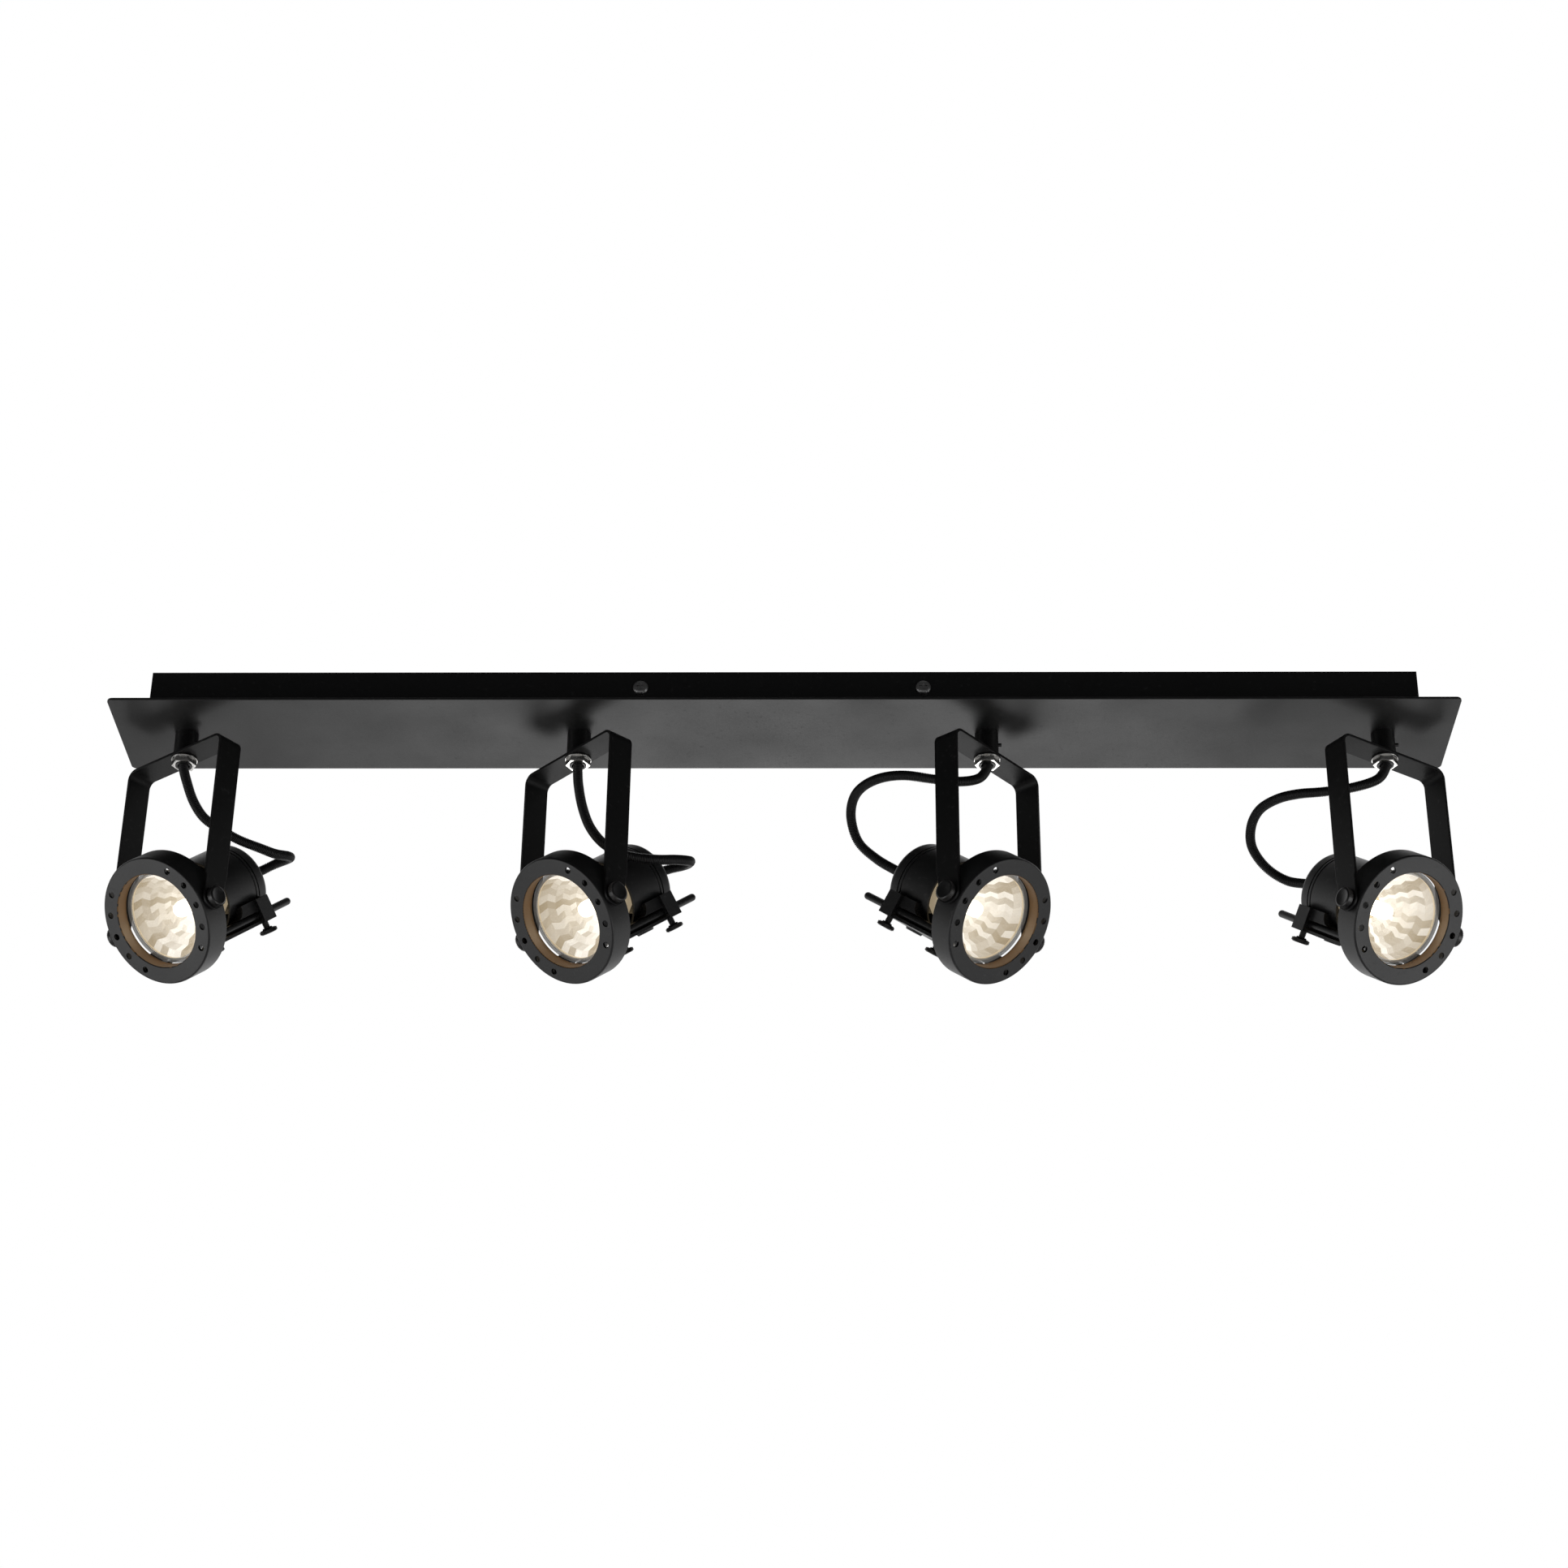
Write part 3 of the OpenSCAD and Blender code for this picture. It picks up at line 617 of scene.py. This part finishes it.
def paint_lamplight_on_collar(mesh, into_head):
    # the collar faces get the painted-lamplight material, a bronze colour standing in for the lamp's light on
    # black paint
    mesh.materials.append(collar_painted_lamplight)
    count = 0
    for polygon in mesh.polygons:
        centre = into_head @ polygon.center
        on_wall = abs(math.hypot(centre.x, centre.z) - COLLAR_RADIUS) < 0.0003
        if on_wall and COLLAR_FRONT < centre.y < COLLAR_BACK:
            polygon.material_index = 1
            count += 1
    return count


for spot in SPOTS:
    tinted = paint_lamplight_on_collar(bpy.data.objects[f"bezel_{spot}_solid"].data, head_frame(spot).inverted())
print("collar faces", tinted)

# %% [markdown]
# ## Turned shapes
# Knobs, lamps and lenses are all turned, so each is a short outline of radius and height spun about Z. The
# outline is written the way a lathe drawing gives it, and closed at the axis by leaving the radius at zero.

# %% Lathe helper
def lathe(name, outline, material, sides=64, smooth_angle=40.0):
    """Spin (radius, height) pairs in millimetres about Z"""
    work = bmesh.new()
    rings = []
    for radius, height in outline:
        if radius == 0:
            rings.append([work.verts.new((0, 0, height * MM))] * sides)
            continue
        angles = [2 * math.pi * k / sides for k in range(sides)]
        points = [Vector((radius * math.cos(a), radius * math.sin(a), height)) * MM for a in angles]
        rings.append([work.verts.new(point) for point in points])
    for low, high in zip(rings, rings[1:]):
        for k in range(sides):
            n = (k + 1) % sides
            corners = list(dict.fromkeys((low[k], low[n], high[n], high[k])))
            if len(corners) > 2:
                work.faces.new(corners)
    bmesh.ops.recalc_face_normals(work, faces=work.faces)
    mesh = bpy.data.meshes.new(name)
    work.to_mesh(mesh)
    work.free()
    mesh.materials.append(material)
    mesh.shade_smooth()
    mesh.set_sharp_from_angle(angle=math.radians(smooth_angle))
    made = bpy.data.objects.new(name, mesh)
    bpy.context.scene.collection.objects.link(made)
    return made


def moved(made, matrix):
    """Put the place into the mesh, so that the object itself stays at the origin"""
    made.data.transform(matrix)
    made.data.update()
    return made


# %% [markdown]
# ## Knurled knobs
# The tilt is held by two knobs whose rims are knurled with straight ridges, and the sliding housing by two
# thumbscrews with the same grip. A ridge is one small block, and a Geometry Nodes tree sets as many of them
# as asked round a circle, each turned to face outwards. A second tree stacks rings along a shank for its
# thread.

# %% Knurl and thread trees
knurl = Nodes("knurl", Count=44, Radius=0.0052, Height=0.0024, Ridge=0.0003, Material=screw_black)


def build_knurl():
    spots = knurl.add(
        "GeometryNodeMeshCircle", None, {"Vertices": knurl.given("Count"), "Radius": knurl.given("Radius")}
    )
    index = knurl.add("GeometryNodeInputIndex")
    angle = knurl.math("DIVIDE", knurl.math("MULTIPLY", index, 2 * math.pi), knurl.given("Count"))
    facing = knurl.add("ShaderNodeCombineXYZ", None, {"Z": angle})
    width = knurl.math("MULTIPLY", knurl.given("Ridge"), 1.2)
    depth = knurl.math("MULTIPLY", knurl.given("Ridge"), 2.0)
    size = knurl.add("ShaderNodeCombineXYZ", None, {"X": depth, "Y": width, "Z": knurl.given("Height")})
    ridge = knurl.add("GeometryNodeMeshCube", None, {"Size": size})
    placed = {"Points": spots, "Instance": ridge, "Rotation": facing}
    ridges = knurl.add("GeometryNodeInstanceOnPoints", None, placed)
    knurl.close(knurl.add("GeometryNodeJoinGeometry", None, {"Geometry": [ridges]}))


build_knurl()
thread = Nodes("thread", Turns=6, Pitch=0.0006, Radius=0.0016, Wire=0.0002, Material=screw_black)


def build_thread():
    step = thread.add("ShaderNodeCombineXYZ", None, {"Z": thread.given("Pitch")})
    line = thread.add("GeometryNodeMeshLine", None, {"Count": thread.given("Turns"), "Offset": step})
    around = {"Resolution": 24, "Radius": thread.given("Radius")}
    section = {"Resolution": 6, "Radius": thread.given("Wire")}
    ring = thread.add("GeometryNodeCurvePrimitiveCircle", None, around)
    wire = thread.add("GeometryNodeCurvePrimitiveCircle", None, section)
    crest = thread.add("GeometryNodeCurveToMesh", None, {"Curve": ring, "Profile Curve": wire})
    crests = thread.add("GeometryNodeInstanceOnPoints", None, {"Points": line, "Instance": crest})
    thread.close(thread.add("GeometryNodeSetShadeSmooth", None, {"Geometry": crests}))


build_thread()


def seed_object():
    """An empty mesh for a tree that makes its own geometry"""
    made = bpy.data.objects.new("seed", bpy.data.meshes.new("seed"))
    bpy.context.scene.collection.objects.link(made)
    return made


def joined(name, parts):
    """Several mesh objects as one"""
    work = bmesh.new()
    materials = []
    for part in parts:
        offset = len(materials)
        materials += list(part.data.materials)
        mesh = part.data.copy()
        for polygon in mesh.polygons:
            polygon.material_index += offset
        work.from_mesh(mesh)
        bpy.data.objects.remove(part)
    mesh = bpy.data.meshes.new(name)
    work.to_mesh(mesh)
    work.free()
    for material in materials:
        mesh.materials.append(material)
    made = bpy.data.objects.new(name, mesh)
    bpy.context.scene.collection.objects.link(made)
    return made


# %% Pivot knobs and thumbscrews
LEG_OUTER = 36.0
GAP = 0.3
ROD_SIDE = 20.0
THUMB_Y = 45.0
THUMB_TOP = -27.3
KNOB = [(0, -6), (1.9, -6), (1.9, 0), (4.8, 0), (5.1, 0.35), (5.1, 2.95), (4.75, 3.3), (4.2, 3.4),
        (3.9, 3.28), (0, 3.28)]
THUMB_SHANK = [(0, 5.4), (1.6, 5.4), (1.6, 0), (0, 0)]
THUMB_HEAD = [(0, 0), (2.5, 0), (2.9, -0.7), (4.0, -0.75), (4.5, -1.2), (4.5, -2.7), (4.0, -3.15), (0, -3.2)]


def at(x, y, z):
    return Matrix.Translation(Vector((x, y, z)) * MM)


for spot in SPOTS:
    for letter, side in (("a", 1), ("b", -1)):
        outwards = head_frame(spot) @ turn(side * math.pi / 2, "Y") @ at(0, 0, LEG_OUTER + GAP)
        head = lathe("knob", KNOB, screw_black)
        grip = knurl.grow("grip", seed_object(), Radius=0.0051, Height=0.0026, Ridge=0.0003)
        moved(grip, at(0, 0, 1.65))
        knob = moved(joined(f"tilt_knob_{letter}_{spot}", [head, grip]), outwards)
        place(knob, f"pivot_knob_{letter}_{spot}")
        under = head_frame(spot) @ at(side * ROD_SIDE, THUMB_Y, THUMB_TOP)
        shank = lathe("shank", THUMB_SHANK, screw_black, 24)
        crests = moved(thread.grow("crests", seed_object(), Turns=9, Pitch=0.0006), at(0, 0, 0.4))
        disc = lathe("disc", THUMB_HEAD, screw_black, 48)
        grip = knurl.grow("grip", seed_object(), Count=36, Radius=0.0045, Height=0.0016, Ridge=0.00028)
        moved(grip, at(0, 0, -1.95))
        screw = moved(joined(f"thumbscrew_{letter}_{spot}", [shank, crests, disc, grip]), under)
        place(screw, f"clamp_screw_{letter}_{spot}")
print("knobs", 4 * len(SPOTS))

# %% [markdown]
# ## Reflector lamps
# A reflector lamp is a pressed glass bowl, mirrored inside with rings of small flat facets that break up the
# beam, with a bright capsule on its axis and a clear front glass sealed to the rim. The bowl also lets a
# little warm light through to its back. The facets follow a rule, so a tree bends a flat grid into a
# paraboloid, steps every ring round by half a facet, and leaves the faces flat.

# %% Lamp materials
WARM = (1.0, 0.86, 0.64)


def lamp_mirror():
    graph = Graph("lamp mirror")
    facet = graph.add("ShaderNodeUVMap", {"uv_map": "facet"})
    u_v = graph.add("ShaderNodeSeparateXYZ", None, {"Vector": facet}, "X")
    ring = Value(graph, u_v.socket.node.outputs["Y"])
    spoke = graph.add("ShaderNodeTexWhiteNoise", {"noise_dimensions": "1D"}, {"W": u_v}, "Value")
    cell = graph.add("ShaderNodeTexWhiteNoise", {"noise_dimensions": "2D"}, {"Vector": facet}, "Value")
    where = graph.add("ShaderNodeTexCoord", None, None, "Object")
    haze = graph.noise(where, 300, 3.0)
    level = graph.spread(spoke * 0.6 + cell * 0.3 + ring * 0.35, 0.2, 1.0)
    glow = graph.mix(level, rgb(0.30, 0.23, 0.14), rgb(1.0, 0.95, 0.86))
    return graph.finish(
        Base_Color=rgb(0.10, 0.10, 0.09),
        Roughness=haze * 0.2 + 0.25,
        Emission_Color=glow,
        Emission_Strength=1.10,
    )


def lamp_glow(name, tint, strength, base=(0.9, 0.85, 0.75), roughness=0.3):
    graph = Graph(name)
    where = graph.add("ShaderNodeTexCoord", None, None, "Object")
    cloud = graph.noise(where, 260, 3.0)
    return graph.finish(
        Base_Color=rgb(*base),
        Roughness=cloud * 0.15 + roughness,
        Emission_Color=graph.mix(cloud * 0.5, rgb(*tint), rgb(*(0.8 * c for c in tint))),
        Emission_Strength=strength,
    )


def clear_glass(name, alpha, roughness=0.03, tint=(0.93, 0.95, 0.95)):
    graph = Graph(name)
    where = graph.add("ShaderNodeTexCoord", None, None, "Object")
    ripple = graph.noise(where, 160, 2.0)
    smear = graph.noise(where, 45, 4.0)
    return graph.finish(
        Base_Color=rgb(*tint),
        Roughness=graph.spread(smear, 0.45, 0.8) * 0.08 + roughness,
        Alpha=graph.spread(smear, 0.5, 0.9) * 0.04 + alpha,
        Normal=graph.bump(ripple, 0.00001),
        Coat_Weight=1.0,
    )


mirror = lamp_mirror()
bowl_back = lamp_glow("lamp bowl", (1.0, 0.80, 0.52), 0.30, (0.62, 0.58, 0.50), 0.25)
capsule_glow = lamp_glow("lamp capsule", WARM, 5.0)
front_glass = clear_glass("front glass", 0.03)
rim_glass = clear_glass("rim glass", 0.62, 0.06, (0.55, 0.57, 0.58))
print("lamp materials", [m.name for m in (mirror, bowl_back, capsule_glow, front_glass, rim_glass)])

# %% [markdown]
# ### The facet tree
# Grid columns become angles and rows become rings. Each face's own column and row are kept as a UV layer, so
# the mirror's brightness can change from facet to facet without any picture.

# %% Faceted reflector tree
facets = Nodes("facets", Columns=33, Rows=9, Outer=0.0229, Inner=0.0066, Depth=0.026, Material=mirror)


def build_facets():
    rows, columns = facets.given("Rows"), facets.given("Columns")
    flat = {"Size X": 1.0, "Size Y": 1.0, "Vertices X": columns, "Vertices Y": rows}
    grid = facets.add("GeometryNodeMeshGrid", None, flat)
    index = facets.add("GeometryNodeInputIndex")
    column = facets.math("FLOOR", facets.math("DIVIDE", facets.math("ADD", index, 0.5), rows))
    row = facets.math("SUBTRACT", index, facets.math("MULTIPLY", column, rows))
    across = facets.math("DIVIDE", row, facets.math("SUBTRACT", rows, 1.0))
    step = facets.math("MULTIPLY", facets.math("MODULO", row, 2.0), 0.5)
    around = facets.math("DIVIDE", facets.math("ADD", column, step), facets.math("SUBTRACT", columns, 1.0))
    angle = facets.math("MULTIPLY", around, 2 * math.pi)
    reach = facets.math("SUBTRACT", facets.given("Outer"), facets.given("Inner"))
    radius = facets.math("SUBTRACT", facets.given("Outer"), facets.math("MULTIPLY", reach, across))
    share = facets.math("DIVIDE", radius, facets.given("Outer"))
    hollow = facets.math("SUBTRACT", 1.0, facets.math("POWER", share, 2.0))
    height = facets.math("MULTIPLY", facets.given("Depth"), hollow)
    x = facets.math("MULTIPLY", radius, facets.math("COSINE", angle))
    y = facets.math("MULTIPLY", radius, facets.math("SINE", angle))
    spot_at = facets.add("ShaderNodeCombineXYZ", None, {"X": x, "Y": y, "Z": height})
    face = facets.add("GeometryNodeInputIndex")
    rows_of_faces = facets.math("SUBTRACT", rows, 1.0)
    face_column = facets.math("FLOOR", facets.math("DIVIDE", facets.math("ADD", face, 0.5), rows_of_faces))
    face_row = facets.math("SUBTRACT", face, facets.math("MULTIPLY", face_column, rows_of_faces))
    tag = facets.add(
        "ShaderNodeCombineXYZ", None,
        {"X": facets.math("DIVIDE", face_column, columns), "Y": facets.math("DIVIDE", face_row, rows)},
    )
    on_faces = {"domain": "FACE", "data_type": "FLOAT_VECTOR"}
    per_face = facets.add("GeometryNodeFieldOnDomain", on_faces, {"Value": tag})
    tagged = facets.add(
        "GeometryNodeStoreNamedAttribute",
        {"data_type": "FLOAT2", "domain": "CORNER"},
        {"Geometry": grid, "Name": "facet", "Value": per_face},
    )
    bent = facets.add("GeometryNodeSetPosition", None, {"Geometry": tagged, "Position": spot_at})
    welded = facets.add("GeometryNodeMergeByDistance", None, {"Geometry": bent, "Distance": 0.00001})
    facets.close(welded)


build_facets()

# %% Lamps
LAMP_BOWL = [(23.4, 2.0), (24.3, 2.1), (22.4, 10), (19.8, 18), (16.8, 26), (13.6, 33), (11, 38), (10, 40)]
LAMP_BASE = [(10, 40), (10, 45.6), (9.6, 46), (0, 46)]
LAMP_PIN = [(0, 45.9), (1.4, 45.9), (1.4, 49.5), (2.3, 49.6), (2.3, 51.6), (1.9, 52), (0, 52)]
LAMP_LENS = [(0, 0.55), (12, 0.45), (19, 0.25), (22.5, 0.1), (22.5, 1.5), (0, 1.7)]
LAMP_RIM = [(22.6, 0.1), (24.6, 0.0), (25.2, 0.35), (25.35, 0.8), (25.35, 2.0), (24.4, 2.0), (24.2, 1.2),
            (22.9, 1.1), (22.6, 0.1)]
CAPSULE = [(0, 9), (2.2, 9.4), (3.6, 10.6), (4.2, 12.5), (4.2, 22), (3, 24), (3, 27.5), (0, 27.5)]
PIN_SIDE = 5.0

for spot in SPOTS:
    axis = head_frame(spot) @ turn(-math.pi / 2, "X")
    bowl = lathe("bowl", LAMP_BOWL, bowl_back, 96)
    base = lathe("base", LAMP_BASE, ceramic, 64)
    pins = [moved(lathe("pin", LAMP_PIN, nickel, 24), at(s * PIN_SIDE, 0, 0)) for s in (1, -1)]
    lamp = moved(joined(f"lamp_bowl_{spot}", [bowl, base, *pins]), axis)
    place(lamp, f"lamp_{spot}")
    reflector = facets.grow(f"lamp_reflector_{spot}", seed_object())
    moved(reflector, axis @ at(0, 0, 2.2))
    shown = [
        reflector,
        moved(lathe(f"lamp_capsule_{spot}", CAPSULE, capsule_glow, 32), axis),
        moved(lathe(f"lamp_lens_{spot}", LAMP_LENS, front_glass, 96), axis),
        moved(lathe(f"lamp_rim_{spot}", LAMP_RIM, rim_glass, 96), axis),
    ]
    for piece in shown:
        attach(piece, f"carriage_{spot}")
print("lamps", len(SPOTS), "facets each", len(reflector.data.polygons))

# %% [markdown]
# ## Stage
# A plain pale floor lies well below the fixture. The room is white behind it and greyer in front, because a
# black satin object is drawn only by what it reflects. One broad light lies low behind the bar, where the
# plate's underside mirrors it, and a smaller one at the front left gives the heads their soft highlights.

# %% Floor, room and lights
FLOOR_Z = -1.6


def floor():
    graph = Graph("floor")
    where = graph.add("ShaderNodeTexCoord", None, None, "Object")
    grain = graph.noise(where, 6, 3.0)
    material = graph.finish(
        Base_Color=graph.mix(grain, rgb(0.78, 0.78, 0.78), rgb(0.82, 0.82, 0.82)), Roughness=0.8
    )
    mesh = bpy.data.meshes.new("floor")
    reach = 6.0
    corners = [(x * reach, y * reach, FLOOR_Z) for x, y in ((-1, -1), (1, -1), (1, 1), (-1, 1))]
    mesh.from_pydata(corners, [], [(0, 1, 2, 3)])
    mesh.materials.append(material)
    made = bpy.data.objects.new("floor", mesh)
    bpy.context.scene.collection.objects.link(made)


def room():
    world = bpy.data.worlds.new("room")
    bpy.context.scene.world = world
    world.use_nodes = True
    graph = Graph.__new__(Graph)
    graph.tree = world.node_tree
    graph.tree.nodes.clear()
    way = graph.add("ShaderNodeTexCoord", None, None, "Generated")
    parts = graph.add("ShaderNodeSeparateXYZ", None, {"Vector": way}, "Y")
    up = Value(graph, parts.socket.node.outputs["Z"])
    behind = graph.spread(parts, 0.05, 0.5) * graph.spread(up, -0.3, 0.05)
    colour = graph.mix(behind, rgb(0.05, 0.05, 0.05), rgb(1.0, 1.0, 1.0))
    shade = graph.add("ShaderNodeBackground", None, {"Color": colour, "Strength": 1.0})
    graph.add("ShaderNodeOutputWorld", None, {"Surface": shade})


def soft_light(name, place_at, aim, size, power):
    data = bpy.data.lights.new(name, "AREA")
    data.shape = "RECTANGLE"
    data.size, data.size_y = size
    data.energy = power
    made = bpy.data.objects.new(name, data)
    made.location = place_at
    made.rotation_mode = "QUATERNION"
    made.rotation_quaternion = (Vector(aim) - Vector(place_at)).to_track_quat("-Z", "Y")
    bpy.context.scene.collection.objects.link(made)


floor()
room()
soft_light("low backdrop", (0.0, 3.0, -1.55), (0, 3.0, 0), (1.7, 1.3), 32)
soft_light("left side", (-2.2, -0.5, -1.1), (0, 0, -0.1), (1.4, 1.4), 13)
soft_light("right side", (2.2, -0.5, -1.1), (0, 0, -0.1), (1.4, 1.4), 13)
